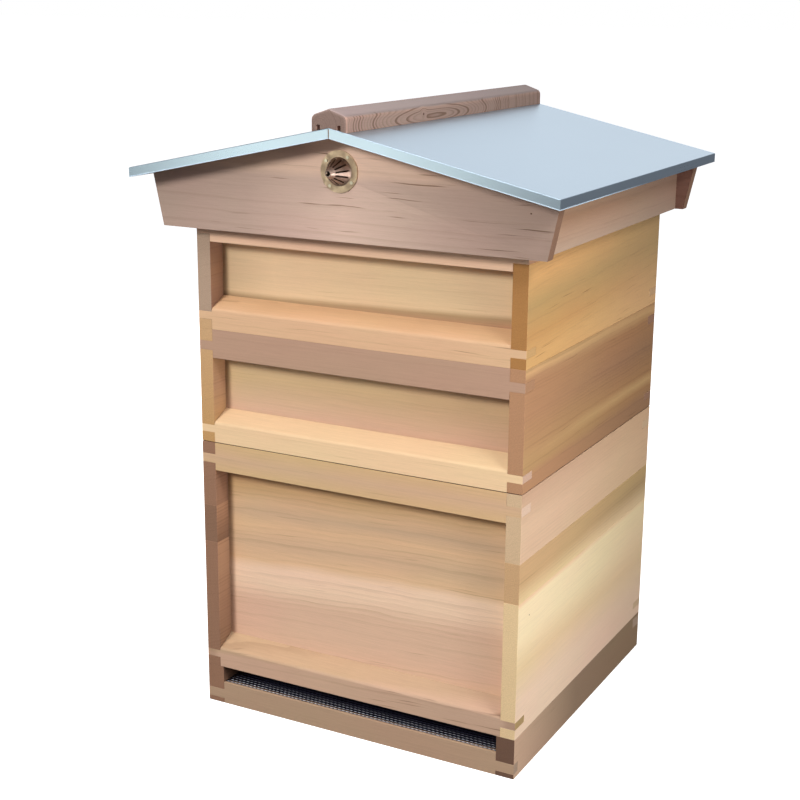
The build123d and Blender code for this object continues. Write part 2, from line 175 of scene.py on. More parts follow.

# Zinc-coated steel and the brass pins, each pair from dark to light
ZINC_TONES = ((0.45, 0.47, 0.5), (0.66, 0.68, 0.71))
# Near-black copy of the zinc for the finer wires: painted shade
SHADED_ZINC_TONES = ((0.02, 0.02, 0.04), (0.05, 0.05, 0.08))
PIN_TONES = ((0.84, 0.74, 0.54), (0.97, 0.9, 0.72))
CUT_EDGE_TONE = (0.05, 0.04, 0.035)
FLAKE_SCALE = 0.25
FLAKE_STOPS = (0.25, 0.75)
FLAKE_ROUGH = (0.28, 0.48)
GRIME_SCALE = 0.03
GRIME_RELIEF = 0.05 * MM

# Woven wire
# Tones of the wire: painted highlight, then painted shade
WIRE_HIGHLIGHT_TONES = ((0.86, 0.89, 1.0), (0.96, 0.97, 1.0))
WIRE_SHADE_TONES = ((0.012, 0.011, 0.035), (0.03, 0.028, 0.07))
WIRE_GRIME_SCALE = 0.05
WIRE_METALLIC = 0.35
WIRE_ROUGH = (0.28, 0.38)
KNUCKLE = (0.19, 0.46)  # heights over the net's middle where a wire takes the painted highlight, mm
NET_FADE = (-220.0, -198.0)  # where the painted highlight near the entrance gives way to painted shade, mm

# Brass
FLANGE_TONES = ((0.7, 0.53, 0.36), (0.94, 0.73, 0.5))
# The cone's darker mauve-brown is a painted reflection of the wood around it
CONE_TONES = ((0.42, 0.3, 0.24), (0.66, 0.5, 0.42))
CONE_CUT = (16.7, 17.7)  # where a vent's cone turns into its flange, from its middle, mm
TARNISH_SCALE = 0.12
TARNISH_ROUGH = (0.5, 0.34)
BRASS_GRAIN_SCALE = 2.2
BRASS_GRAIN_ROUGH = 0.08
BRASS_GRAIN_RELIEF = 0.04 * MM

# Wax
WAX_TONES = ((0.62, 0.38, 0.09), (0.8, 0.56, 0.18))
WAX_RIM_TONE = (0.9, 0.7, 0.33)
WAX_RIM_SHARE = 0.5
WAX_ROUGH = (0.4, 0.55)
WAX_BLOOM_SCALE = 0.03
WAX_DEPTH = 0.1  # share of the light that goes through the surface
WAX_REACH = (4.0 * MM, 2.0 * MM, 1.0 * MM)
CELL = 5.4  # across the flats of a wax cell, mm
CELL_RIM = (0.36, 0.5)  # where the rim rises, in shares of that
CELL_RELIEF = 0.4 * MM
HALF_ROOT_3 = 0.866

# Tray, near black as painted shade under the floor's mesh
TRAY_SHADE_TONE = (0.016, 0.017, 0.032)
SCUFF_TONE = (0.05, 0.05, 0.065)
SCUFF_SCALE = (0.02, 0.4)  # along and across
SCUFF_CUT = (0.6, 0.75)
SCUFF_SHARE = 0.4
PEBBLE_SCALE = 1.4
PEBBLE_ROUGH = (0.5, 0.7)
PEBBLE_RELIEF = 0.06 * MM

# Studio floor and sky
FLOOR_REACH = 40.0
FLOOR_DROP = 0.1 * MM
FLOOR_GLOW = 0.8
FLOOR_ROUGH = 0.9
FLOOR_TONE = (0.8, 0.8, 0.8)
SKY_RISE = (-0.3, 0.6)
SKY_TONES = ((0.13, 0.13, 0.14), (0.34, 0.34, 0.36))

# Place, aim, diameter and power of each lamp
LAMPS = {
    "overhead": ((-0.2, -0.9, 2.4), (0.0, -0.1, 0.5), 1.3, 14.0),
    "key": ((-0.79, -2.62, 1.75), (0.0, -0.2, 0.45), 0.7, 55.0),
    "side": ((1.0, -0.35, 0.4), (0.2, -0.05, 0.36), 0.5, 4.8),
    "high_side": ((1.5, -0.9, 1.75), (0.0, -0.05, 0.75), 0.6, 11.0),
    "back": ((-0.5, 2.9, 1.95), (0.0, 0.0, 0.6), 2.8, 11.6),
    "rear_left": ((-1.9, 1.3, 1.2), (0.0, 0.0, 0.35), 1.4, 34.0),
}
# Lamps whose image would blot out a slope of the roof sheet seen from behind
UNMIRRORED = ("key", "rear_left")
# A card that only shows as a sheen on the front lips of the roof
SHEEN_CARD = ((-1.0, -2.0, 0.66), (0.0, -0.28, 0.75), 0.9, 2.75)
CARD_COLOUR = (1.0, 1.0, 0.89)

# Wood tones as they look in soft light, in screen values
TONES = {
    "cream": (244, 222, 180),
    "straw": (226, 196, 150),
    "butter": (214, 186, 142),
    "sand": (206, 176, 140),
    "buff": (210, 174, 138),
    "peach": (236, 198, 158),
    "oat": (232, 202, 158),
    "apricot": (226, 182, 138),
    "honey": (206, 164, 110),
    "gold": (194, 150, 98),
    "olive": (180, 150, 102),
    "moss": (165, 138, 99),
    "blush": (224, 192, 166),
    "rose": (206, 170, 146),
    "maple": (220, 175, 128),
    "shell": (238, 206, 178),
    "tan": (198, 160, 118),
    "clay": (194, 148, 116),
    "nut": (178, 134, 100),
    "mauve": (186, 154, 136),
    "ash": (174, 148, 126),
    "chestnut": (166, 122, 88),
    "amber": (168, 120, 70),
    "wheat": (196, 164, 134),
    "fog": (152, 136, 130),
    "dusk": (158, 128, 112),
    "cocoa": (152, 114, 90),
    "umber": (140, 106, 84),
    "slate": (132, 110, 100),
    "bark": (112, 84, 68),
}


def linear(value):
    """A screen value from 0 to 255 as the light that it stands for."""
    share = value / 255
    if share <= 0.04045:
        return share / 12.92
    return ((share + 0.055) / 1.055) ** 2.4


def tone(name, tint=WHITE):
    """A tone of the list as light, with its red, green and blue balanced by a tint."""
    return tuple(linear(value) * share for value, share in zip(TONES[name], tint))


# Shader graphs

class Graph:
    """Builds a node tree step by step. A step takes sockets or plain values and gives a socket."""

    def __init__(self, tree):
        self.tree = tree

    def add(self, kind, inputs=(), **settings):
        node = self.tree.nodes.new(kind)
        for key, value in settings.items():
            setattr(node, key, value)
        self.feed_all(node, dict(inputs))
        return node

    def feed_all(self, node, inputs):
        for key, value in inputs.items():
            self.feed(node.inputs[key], value)

    def feed(self, socket, value):
        if isinstance(value, bpy.types.NodeSocket):
            self.tree.links.new(value, socket)
        elif socket.type == "RGBA":
            socket.default_value = (*value, 1.0)
        else:
            socket.default_value = value

    def math(self, operation, *values):
        return self.add("ShaderNodeMath", enumerate(values), operation=operation).outputs[0]

    def plus(self, a, b):
        return self.math("ADD", a, b)

    def minus(self, a, b):
        return self.math("SUBTRACT", a, b)

    def times(self, a, b):
        return self.math("MULTIPLY", a, b)

    def length(self, a, b):
        """Length of a step of a one way and b square to it."""
        return self.math("SQRT", self.plus(self.times(a, a), self.times(b, b)))

    def centred(self, noise):
        """A noise moved to run from -0.5 to 0.5."""
        return self.minus(noise, 0.5)

    def between(self, value, ends):
        """A share of the way from one end to the other."""
        return self.plus(ends[0], self.times(value, ends[1] - ends[0]))

    def smooth(self, value, low, high, start=0.0, end=1.0):
        """Runs from start to end as the value runs from low to high."""
        ends = {"Value": value, "From Min": low, "From Max": high, "To Min": start, "To Max": end}
        return self.add("ShaderNodeMapRange", ends, interpolation_type="SMOOTHSTEP").outputs[0]

    def combine(self, x=0.0, y=0.0, z=0.0):
        return self.add("ShaderNodeCombineXYZ", enumerate((x, y, z))).outputs[0]

    def separate(self, vector):
        return self.add("ShaderNodeSeparateXYZ", {0: vector}).outputs

    def scale(self, vector, factor):
        return self.add("ShaderNodeVectorMath", {0: vector, "Scale": factor}, operation="SCALE").outputs[0]

    def noise(self, vector, scale=1.0, detail=2.0, roughness=0.5):
        inputs = {"Vector": vector, "Scale": scale, "Detail": detail, "Roughness": roughness}
        return self.add("ShaderNodeTexNoise", inputs).outputs[0]

    def mix(self, share, a, b, blend="MIX"):
        """A mix of two colours."""
        inputs = {0: share, 6: a, 7: b}
        return self.add("ShaderNodeMix", inputs, data_type="RGBA", blend_type=blend).outputs[2]

    def tinted(self, share, colour, tint):
        """A colour of which a share is multiplied by a tint."""
        return self.mix(share, colour, tint, "MULTIPLY")

    def ramp(self, value, stops):
        """A colour that runs through stops, each a place and a colour."""
        node = self.add("ShaderNodeValToRGB", {0: value})
        elements = node.color_ramp.elements
        while len(elements) > len(stops):
            elements.remove(elements[-1])
        while len(elements) < len(stops):
            elements.new(0.5)
        for element, (place, colour) in zip(elements, stops):
            element.position = place
            element.color = (*colour, 1.0)
        return node.outputs[0]

    def spread(self, noise, tones):
        """A colour that runs from the first tone to the second over the middle of a noise."""
        return self.ramp(noise, list(zip(NOISE_MIDDLE, tones)))

    def bump(self, height, distance, strength=1.0):
        inputs = {"Height": height, "Distance": distance, "Strength": strength}
        return self.add("ShaderNodeBump", inputs).outputs[0]


def new_material(name):
    """A material, the graph of its tree and its shader."""
    material = bpy.data.materials.new(name)
    material.use_nodes = True
    graph = Graph(material.node_tree)
    return material, graph, graph.tree.nodes["Principled BSDF"]


def place_mm(graph, axes=(0, 1, 2)):
    """Where a point lies in the hive at rest, in mm, with the axes in the given order."""
    parts = graph.separate(graph.add("ShaderNodeTexCoord").outputs["Object"])
    return graph.scale(graph.combine(*(parts[axis] for axis in axes)), 1 / MM)


def facing(graph, axis):
    """How squarely the surface faces along an axis of the hive, from 0 to 1."""
    return graph.math("ABSOLUTE", graph.separate(graph.add("ShaderNodeTexCoord").outputs["Normal"])[axis])


# Wood

AXES = {
    "cross": (0, 2, 1),  # a board on edge that runs left to right
    "deep": (1, 2, 0),  # a board on edge that runs front to back
    "flat": (0, 1, 2),  # a board on its face that runs left to right
    "flat deep": (1, 0, 2),  # a board on its face that runs front to back
    "upright": (2, 0, 1),  # a bar that stands
}


@dataclass
class Board:
    """How one board was cut from the tree and how it is coloured."""
    bands: str | tuple  # one tone, or tones at places from the lower edge, 0, to the upper one, 1
    end: str | tuple = "clay"  # one tone, or bands, of the end grain
    pith: tuple = (-140.0, 60.0)  # across from the lower edge and through from the middle, mm
    tilt: float = 0.0  # rise of the grain along the board
    bow: float = 0.0  # bend of the rings through the board, per mm
    bow_at: float = 0.0  # place along the board where the bend turns, mm
    spacing: float = 4.5  # between rings, mm
    rings: float = 0.35  # depth of the ring lines
    streaks: float = 0.3  # depth of the dark streaks
    sway: float = 7.0  # wander of the grain, mm
    knot: tuple = (0.0, -999.0, 1.0)  # along, across and size, mm
    tint: tuple = WHITE  # balance of red, green and blue against the tones
    far: str | tuple = ""  # one tone, or bands, towards the high end of the board
    far_share: float = 0.0
    far_from: float = 0.1  # where that tone starts, as a share of the length
    shade: tuple = ()  # painted light and shade: brightness at places from the low end, 0, to the high end, 1
    corner_shade: float = 0.0  # painted shade where both ends of the board run into a corner
    quiet_top: float = 0.0  # share of the ring lines that the upper face lacks
    seed: int = 0


def wood_grain():
    """A node group for the figure of a board: rings round a pith, streaks, fibres and one knot."""
    tree = bpy.data.node_groups.new("wood_grain", "ShaderNodeTree")
    for name in ("Place", "Knot"):
        tree.interface.new_socket(name, in_out="INPUT", socket_type="NodeSocketVector")
    for name in ("Seed", "Pith Across", "Pith Through", "Tilt", "Bow", "Bow At", "Spacing", "Sway"):
        tree.interface.new_socket(name, in_out="INPUT", socket_type="NodeSocketFloat")
    g = Graph(tree)
    given = g.add("NodeGroupInput").outputs
    along, across, through = g.separate(given["Place"])
    drawn = g.plus(along, g.times(given["Seed"], SEED_STEP))

    def field(scales, detail=2.0, roughness=0.5):
        """Noise that is stretched along the board."""
        along_scale, across_scale = scales
        place = g.combine(g.times(drawn, along_scale), g.times(across, across_scale),
                          g.times(through, across_scale))
        return g.noise(place, detail=detail, roughness=roughness)

    # The knot pushes the grain aside
    knot_along, knot_across, knot_size = g.separate(given["Knot"])
    off_along = g.times(g.minus(along, knot_along), KNOT_LENGTH)
    off_across = g.minus(across, knot_across)
    knot_reach = g.math("DIVIDE", g.length(off_along, off_across), knot_size)
    push = g.math("EXPONENT", g.times(g.times(knot_reach, knot_reach), -KNOT_FALL))
    aside = g.times(g.times(off_across, push), -KNOT_PUSH)

    # Rings round the pith
    sway = g.times(g.centred(field(SWAY_SCALE)), given["Sway"])
    ripple = g.times(g.centred(field(RIPPLE_SCALE)), g.times(given["Sway"], RIPPLE_SHARE))
    wander = g.plus(g.plus(sway, ripple), aside)
    warped = g.minus(g.plus(across, wander), g.times(along, given["Tilt"]))
    from_turn = g.minus(along, given["Bow At"])
    bend = g.times(g.times(from_turn, from_turn), given["Bow"])
    deep = g.plus(through, g.times(wander, WANDER_THROUGH))
    pith_across = g.minus(warped, given["Pith Across"])
    pith_through = g.plus(g.minus(deep, given["Pith Through"]), bend)
    radius = g.length(pith_across, pith_through)
    drift = g.times(g.noise(g.combine(g.times(radius, DRIFT_SCALE), given["Seed"])), DRIFT_TURNS)
    turn = g.plus(g.math("DIVIDE", radius, given["Spacing"]), drift)
    phase = g.math("FRACT", turn)
    late = g.times(g.smooth(phase, *LATE_RISE), g.smooth(phase, *LATE_FALL, 1.0, 0.0))

    # Some rings, and some patches of them, are fainter than others
    ring_number = {"W": g.plus(g.math("FLOOR", turn), given["Seed"])}
    lot = g.add("ShaderNodeTexWhiteNoise", ring_number, noise_dimensions="1D").outputs[0]
    patch = g.noise(g.combine(g.times(drawn, PATCH_SCALE[0]), g.times(radius, PATCH_SCALE[1])))
    strength = g.smooth(lot, *FAINT_CUT, FAINT_LEAST, 1.0)
    patchy = g.smooth(patch, *PATCH_CUT, PATCH_LEAST, 1.0)
    streak = g.noise(g.combine(g.times(drawn, STREAK_SCALE[0]), g.times(turn, STREAK_SCALE[1])))

    found = {
        "Across": warped,
        "Ring": g.times(g.times(late, strength), patchy),
        "Streak": g.smooth(streak, *STREAK_CUT),
        "Fibre": g.centred(field(FIBRE_SCALE, detail=4.0, roughness=0.6)),
        "Fine": g.centred(field(FINE_SCALE)),
        "Cloud": field(CLOUD_SCALE),
        "Pore": g.centred(g.noise(given["Place"], scale=PORE_SCALE, detail=3.0, roughness=0.6)),
        "Knot": g.smooth(knot_reach, *KNOT_CUT, 1.0, 0.0),
    }
    for name in found:
        tree.interface.new_socket(name, in_out="OUTPUT", socket_type="NodeSocketFloat")
    g.add("NodeGroupOutput", found)
    return tree


GRAIN = wood_grain()


def plain(*tones):
    """Bands of even spacing."""
    steps = max(len(tones) - 1, 1)
    return tuple((index / steps, name) for index, name in enumerate(tones))


def bands_ramp(graph, height, bands, tint=WHITE):
    """The colour at a height of a board, from one tone or from bands."""
    bands = plain(bands) if isinstance(bands, str) else bands
    return graph.ramp(height, [(place, tone(name, tint)) for place, name in bands])


def wood(name, board, axes, low, high):
    """The material of one board, whose low and high corners are given in metres."""
    material, g, shader = new_material(name)
    order = AXES[axes]
    start, lower, _ = (low[axis] / MM for axis in order)
    length, width, _ = ((high[axis] - low[axis]) / MM for axis in order)
    middle = (low[order[2]] + high[order[2]]) / 2 / MM
    place = place_mm(g, order)
    facts = {
        "Place": place,
        "Knot": board.knot,
        "Seed": board.seed,
        "Pith Across": lower + board.pith[0],
        "Pith Through": middle + board.pith[1],
        "Tilt": board.tilt,
        "Bow": board.bow,
        "Bow At": board.bow_at,
        "Spacing": board.spacing,
        "Sway": board.sway,
    }
    found = g.add("ShaderNodeGroup", facts, node_tree=GRAIN).outputs

    # Broad tones
    height = g.math("DIVIDE", g.minus(found["Across"], lower), width)
    share = g.math("DIVIDE", g.minus(g.separate(place)[0], start), length)
    colour = bands_ramp(g, height, board.bands, board.tint)
    if board.far:
        far = g.times(g.smooth(share, board.far_from, 1.0), board.far_share)
        colour = g.mix(far, colour, bands_ramp(g, height, board.far, board.tint))
    # Painted light and shade along the board
    if board.shade:
        shade = g.ramp(share, [(at, (level, level, level)) for at, level in board.shade])
        colour = g.tinted(1.0, colour, shade)
    # Painted shade where the ends of the board run into a corner
    if board.corner_shade:
        inset = g.times(g.math("MINIMUM", share, g.minus(1.0, share)), length)
        colour = g.tinted(g.smooth(inset, *CORNER_SHADE_REACH, board.corner_shade, 0.0), colour, CORNER_SHADE_TINT)
    colour = g.tinted(1.0, colour, g.mix(g.smooth(found["Cloud"], *NOISE_MIDDLE), ROSY_TINT, SUNNY_TINT))
    end = g.smooth(facing(g, order[0]), *END_CUT)
    colour = g.mix(end, colour, bands_ramp(g, height, board.end))

    # Rings, streaks and the knot
    side_grain = g.smooth(end, 0.0, 1.0, 1.0, END_FIGURE)
    ring = g.times(g.times(found["Ring"], board.rings), side_grain)
    if board.quiet_top:
        ring = g.times(ring, g.smooth(facing(g, 2), *TOP_CUT, 1.0, 1.0 - board.quiet_top))
    streak = g.times(g.times(found["Streak"], board.streaks), side_grain)
    colour = g.tinted(ring, colour, RING_TINT)
    colour = g.tinted(streak, colour, STREAK_TINT)
    colour = g.tinted(found["Knot"], colour, KNOT_TINT)

    # Fibres, and pores in the end grain
    fibre = g.plus(g.times(found["Fibre"], FIBRE_DEPTH), g.times(found["Fine"], FINE_DEPTH))
    fibre = g.plus(fibre, g.times(g.times(found["Pore"], end), PORE_DEPTH))
    rough = g.plus(g.times(found["Fibre"], FIBRE_ROUGH), g.times(found["Ring"], RING_ROUGH))
    relief = g.plus(g.times(found["Fine"], FINE_RELIEF), g.times(found["Ring"], RING_RELIEF))
    g.feed_all(shader, {
        "Base Color": g.scale(colour, g.plus(fibre, 1.0)),
        "Roughness": g.plus(rough, WOOD_ROUGH),
        "Normal": g.bump(g.plus(found["Fibre"], relief), WOOD_RELIEF, strength=0.6),
        "Specular IOR Level": WOOD_SPECULAR,
    })
    return material


# Boards of the hive

# The shade ramps of these boards, and the darkening of board ends in corners, are painted light and shade
BOARDS = {
    # Roof
    "roof_front_gable": Board(
        ((0, "mauve"), (0.58, "mauve"), (0.66, "rose"), (1, "rose")), "umber", pith=(-60, 40),
        tilt=-0.01, spacing=7.0, rings=0.22, streaks=2.6, sway=14, knot=(241, 713, 1.2),
        tint=(0.97, 1.05, 1.13), far="dusk", far_share=0.6, far_from=0.5,
        shade=((0, 0.82), (0.25, 0.93), (0.5, 1.3), (0.75, 1.02), (1, 0.84)), seed=3),
    # Dark purplish tones: painted shade for the sliver of its front face that shows beside the side board
    "roof_rear_gable": Board(
        "umber", "umber", pith=(-60, 40), spacing=7.0, rings=0.3, streaks=0.5, sway=20,
        tint=(0.75, 0.68, 0.82), seed=4),
    "roof_right_side_board": Board(
        plain("rose", "clay", "rose"), "umber", pith=(-300, 30), spacing=6.0, rings=0.25,
        tint=(0.85, 0.92, 0.95), far="dusk", far_share=0.6, seed=5),
    "ridge_beam": Board(
        ((0, "mauve"), (0.64, "mauve"), (0.72, "fog"), (1, "fog")), "slate", pith=(7, 15.7),
        bow=0.00055, bow_at=-67, spacing=1.3, rings=3.4, streaks=0.1, sway=5, knot=(-95, 802, 2.0),
        tint=(1.05, 1.03, 1.08), quiet_top=0.9, shade=((0, 1.22), (0.3, 1.14), (0.6, 1.02), (1, 0.9)),
        seed=8),
    # Upper super
    "upper_super_front_top_rail": Board(plain("blush", "rose"), tint=(1.12, 1.05, 1.0), seed=11),
    # The tan band at the top is painted shadow under the top rail; its shade ramp paints shadow at the left
    # end
    "upper_super_front_panel": Board(
        ((0, "tan"), (0.24, "nut"), (0.33, "moss"), (0.38, "butter"), (0.85, "butter"), (1, "tan")),
        tilt=0.022, rings=0.08, streaks=0.4, sway=6, tint=(1.18, 1.17, 1.3),
        shade=((0, 0.72), (0.2, 0.98), (1, 0.92)), corner_shade=0.6, seed=12),
    "upper_super_front_bottom_rail": Board(
        ((0, "apricot"), (0.6, "apricot"), (0.8, "maple"), (1, "maple")), "honey", rings=0.2,
        streaks=0.9, sway=16, tint=(0.89, 0.93, 1.04), seed=13),
    "upper_super_left_wall": Board(
        plain("umber", "chestnut", "umber"), ((0, "tan"), (0.09, "tan"), (0.1, "ash"), (1, "ash")),
        tint=(0.98, 1.05, 1.3), seed=14),
    "upper_super_right_wall": Board(
        ((0, "honey"), (0.14, "honey"), (0.3, "gold"), (0.55, "olive"), (0.75, "honey"), (1, "honey")),
        "amber", tilt=0.04, rings=0.2, streaks=1.1, sway=14, tint=(1.15, 1.11, 1.05),
        far=plain("tan", "moss", "moss"), far_share=0.9, seed=15),
    # Lower super
    "lower_super_front_top_rail": Board("mauve", "nut", rings=0.1, tint=(0.93, 0.89, 0.82), seed=21),
    "lower_super_front_panel": Board(
        plain("clay", "rose", "butter", "sand"), rings=0.12, sway=12, tint=(1.02, 1.02, 1.02), far="clay",
        far_share=0.3, corner_shade=0.6, seed=22),
    "lower_super_front_bottom_rail": Board(
        ((0, "straw"), (0.55, "straw"), (0.7, "butter"), (1, "butter")), "rose", rings=0.15,
        streaks=0.4, tint=(1.08, 1.05, 1.15), seed=23),
    "lower_super_left_wall": Board(
        plain("gold", "clay", "gold"), plain("gold", "tan"), tint=(1.0, 1.08, 1.14), seed=24),
    # The pale apricot band at the upper edge is a painted highlight of the eased edge
    "lower_super_right_wall": Board(
        ((0, "clay"), (0.12, "clay"), (0.2, "tan"), (0.6, "clay"), (0.91, "clay"), (0.96, "apricot"),
         (1, "tan")), "nut", streaks=0.8, sway=12, tint=(0.91, 0.9, 0.78),
        far=((0, "cocoa"), (0.12, "cocoa"), (0.22, "chestnut"), (0.29, "tan"), (0.36, "chestnut"),
             (0.6, "cocoa"), (0.85, "chestnut"), (0.93, "tan"), (1, "nut")), far_share=0.85,
        far_from=-0.2, seed=25),
    # Brood box
    "brood_front_top_rail": Board(
        plain("buff", "rose", "buff"), "blush", rings=0.15, tint=(1.0, 1.02, 0.9), seed=31),
    # The tan and chestnut bands at the top are painted shadow under the top rail
    "brood_front_panel": Board(
        ((0, "buff"), (0.15, "rose"), (0.34, "rose"), (0.43, "blush"), (0.5, "blush"), (0.54, "buff"),
         (0.62, "wheat"), (0.7, "buff"), (0.76, "wheat"), (0.81, "buff"), (0.88, "tan"), (1, "chestnut")),
        pith=(-200, 30), tilt=0.043, spacing=7.5, rings=0.25, streaks=0.6, sway=20, tint=(1.16, 1.17, 1.16),
        corner_shade=0.6, seed=32),
    "brood_front_bottom_rail": Board(
        ((0, "rose"), (0.6, "rose"), (0.75, "wheat"), (1, "wheat")), "olive", tilt=0.05, spacing=6.0,
        streaks=1.6, sway=18, tint=(0.98, 0.98, 0.96), far="mauve", far_share=0.5, far_from=0.3, corner_shade=0.3,
        seed=33),
    "brood_left_wall.0": Board(plain("umber", "clay"), "cocoa", rings=0.5, tint=(0.98, 1.04, 1.1), seed=34),
    "brood_left_wall.1": Board(plain("umber", "clay"), "umber", rings=0.5, tint=(1.0, 1.04, 1.08), seed=35),
    "brood_left_wall.2": Board("clay", "cocoa", rings=0.5, tint=(0.78, 0.79, 0.88), seed=36),
    "brood_right_wall.0": Board(
        ((0, "shell"), (0.25, "shell"), (0.5, "oat"), (0.75, "cream"), (0.96, "cream"), (1, "peach")),
        "straw", pith=(-40, -5), spacing=2.6, rings=0.16, streaks=0.25, knot=(-196, 209.5, 1.2),
        tint=(1.08, 1.1, 1.12), far=plain("rose", "sand", "butter"), far_share=0.55, seed=37),
    "brood_right_wall.1": Board(
        plain("straw", "tan", "tan"), "tan", rings=0.25, sway=10, tint=(1.13, 1.17, 1.17),
        far=plain("sand", "moss", "olive"), far_share=0.85, seed=38),
    "brood_right_wall.2": Board(
        plain("blush", "blush", "rose"), "sand", rings=0.15, tint=(1.0, 0.97, 0.9), far="sand",
        far_share=0.6, seed=39),
    # Floor
    "floor_front_bar": Board("ash", "ash", rings=0.06, streaks=0.15, tint=(1.1, 1.04, 0.98), seed=41),
    "floor_rear_rail": Board("ash", "ash", rings=0.25, seed=44),
    # Dark tones: painted shade for its inner face, which shows through the entrance
    "floor_left_rail": Board(plain("umber", "bark"), "cocoa", seed=42),
    "floor_right_rail": Board(
        "ash", "bark", rings=0.1, streaks=0.8, tint=(1.16, 1.11, 1.08), far="moss", far_share=0.5,
        far_from=0.0, shade=((0, 1.3), (0.45, 0.63), (1, 0.63)), seed=43),
}

# Rear rails and panels are like the front ones; the ends of the rear rails show at the right side
REAR_ENDS = {
    "upper_super": ("olive", "tan"),
    "lower_super": ("cocoa", "cocoa"),
    "brood": ("sand", "sand"),
}
REAR_SEEDS = 60  # between the seeds of a front board and its rear twin
# The rear twins carry the painted shade of the front boards as well
for box, (top_end, bottom_end) in REAR_ENDS.items():
    for part, end in (("top_rail", top_end), ("bottom_rail", bottom_end), ("panel", "clay")):
        front = BOARDS[f"{box}_front_{part}"]
        twin = replace(front, end=end, tilt=-front.tilt, seed=front.seed + REAR_SEEDS)
        BOARDS[f"{box}_rear_{part}"] = twin

# Boards that the photograph doesn't show take a like mix of tones
HIDDEN_BANDS = (
    plain("sand", "butter", "rose"),
    plain("clay", "rose", "sand"),
    plain("butter", "straw", "butter"),
    plain("rose", "mauve", "rose"),
    plain("gold", "honey", "sand"),
)
ROOF_BANDS = (plain("mauve", "rose", "mauve"), plain("ash", "mauve", "ash"))

# Pine of the frames
PINE = Board(plain("straw", "butter", "cream"), "butter", pith=(-30, 20), spacing=3.2, streaks=0.2, seed=7)


def board_for(name):
    """The recipe of a board; one that isn't listed is drawn from the hidden mixes by its name."""
    if name in BOARDS:
        return BOARDS[name]
    draw = random.Random(name)
    return Board(
        bands=draw.choice(ROOF_BANDS if name.startswith("roof_") else HIDDEN_BANDS),
        end=draw.choice(("clay", "umber", "butter")),
        pith=(draw.uniform(-220, 60), draw.uniform(30, 90)),
        tilt=draw.uniform(-0.02, 0.02),
        streaks=draw.uniform(0.2, 0.6),
        seed=draw.randrange(50, 500),
    )


def axes_for(name):
    """How a wooden node's board lies."""
    if name.endswith("_deck"):
        return "flat deep"
    if name == "crown_panel":
        return "flat"
    if "wall" in name or "side" in name or name in ("ridge_beam", "floor_left_rail", "floor_right_rail"):
        return "deep"
    return "cross"


# Metal, wax and plastic

def sheet_metal():
    """Mill-finished roofing sheet: faint rolling lines, clouded gloss, and a painted highlight: a pale band
    along the lips' lower edge that fades out towards the back.
    """
    material, g, shader = new_material("roof_metal")
    low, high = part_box("roof_sheet")
    pitch = (high.z - low.z - SHEET_LIP) / high.x
    lip_edge = (high.z - SHEET_LIP) / MM
    place = place_mm(g)
    x, y, z = g.separate(place)
    line_along, line_across = LINE_SCALE
    stretched = g.combine(g.times(x, line_across), g.times(y, line_along), g.times(z, line_across))
    lines = g.noise(stretched, detail=3)
    cloud = g.noise(place, scale=SHEET_CLOUD_SCALE, detail=2)
    mottle = g.plus(g.times(cloud, 1.0 - LINE_SHARE), g.times(lines, LINE_SHARE))
    rough = g.plus(g.smooth(cloud, *NOISE_MIDDLE, *SHEET_ROUGH), g.times(lines, LINE_ROUGH))
    edge_rise = g.minus(g.plus(z, g.times(g.math("ABSOLUTE", x), pitch)), lip_edge)
    # Painted highlight: the lips' lower edge loses its mirroring and turns pale, fading out towards the
    # back
    edge_highlight = g.times(g.smooth(edge_rise, *HIGHLIGHT_EDGE, 1.0, 0.0), g.smooth(y, *HIGHLIGHT_FADE, 1.0, 0.0))
    wave = g.plus(g.noise(place, scale=WAVE_SCALE, detail=1), g.times(lines, LINE_RELIEF))
    g.feed_all(shader, {
        "Base Color": g.spread(mottle, SHEET_TONES),
        "Metallic": g.minus(1.0, g.times(edge_highlight, HIGHLIGHT_SHARE)),
        "Roughness": g.times(rough, g.smooth(facing(g, 2), *LEVEL_CUT, LIP_GLOSS, 1.0)),
        "Normal": g.bump(wave, WAVE_RELIEF, strength=0.2),
    })
    return material


def zinc_steel(name, tones, edge=None):
    """Metal with crystal flakes in two tones. A level sheet's cut edges may have their own."""
    material, g, shader = new_material(name)
    place = place_mm(g)
    flakes = g.add("ShaderNodeTexVoronoi", {"Vector": place, "Scale": FLAKE_SCALE}).outputs["Color"]
    flake = g.separate(flakes)[0]
    grime = g.noise(place, scale=GRIME_SCALE, detail=4)
    colour = g.ramp(g.plus(g.times(flake, 0.5), g.times(grime, 0.5)), list(zip(FLAKE_STOPS, tones)))
    if edge:
        colour = g.mix(g.smooth(facing(g, 2), *LEVEL_CUT), edge, colour)
    g.feed_all(shader, {
        "Base Color": colour,
        "Metallic": 1.0,
        "Roughness": g.between(flake, FLAKE_ROUGH),
        "Normal": g.bump(grime, GRIME_RELIEF, strength=0.4),
    })
    return material


def woven_wire():
    """Zinc-coated wire with a painted highlight where it rises near the entrance, and painted shade lower
    down and further inside.
    """
    material, g, shader = new_material("wire")
    low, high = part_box("floor_mesh")
    middle = (low.z + high.z) / 2 / MM
    place = place_mm(g)
    _, y, z = g.separate(place)
    grime = g.noise(place, scale=WIRE_GRIME_SCALE, detail=4)
    # Painted highlight on the raised parts of the wires near the entrance; painted shade lower down and
    # further in
    bright = g.times(g.smooth(g.minus(z, middle), *KNUCKLE), g.smooth(y, *NET_FADE, 1.0, 0.0))
    g.feed_all(shader, {
        "Base Color": g.mix(bright, g.spread(grime, WIRE_SHADE_TONES), g.spread(grime, WIRE_HIGHLIGHT_TONES)),
        "Metallic": WIRE_METALLIC,
        "Roughness": g.smooth(grime, *NOISE_MIDDLE, *WIRE_ROUGH),
    })
    return material


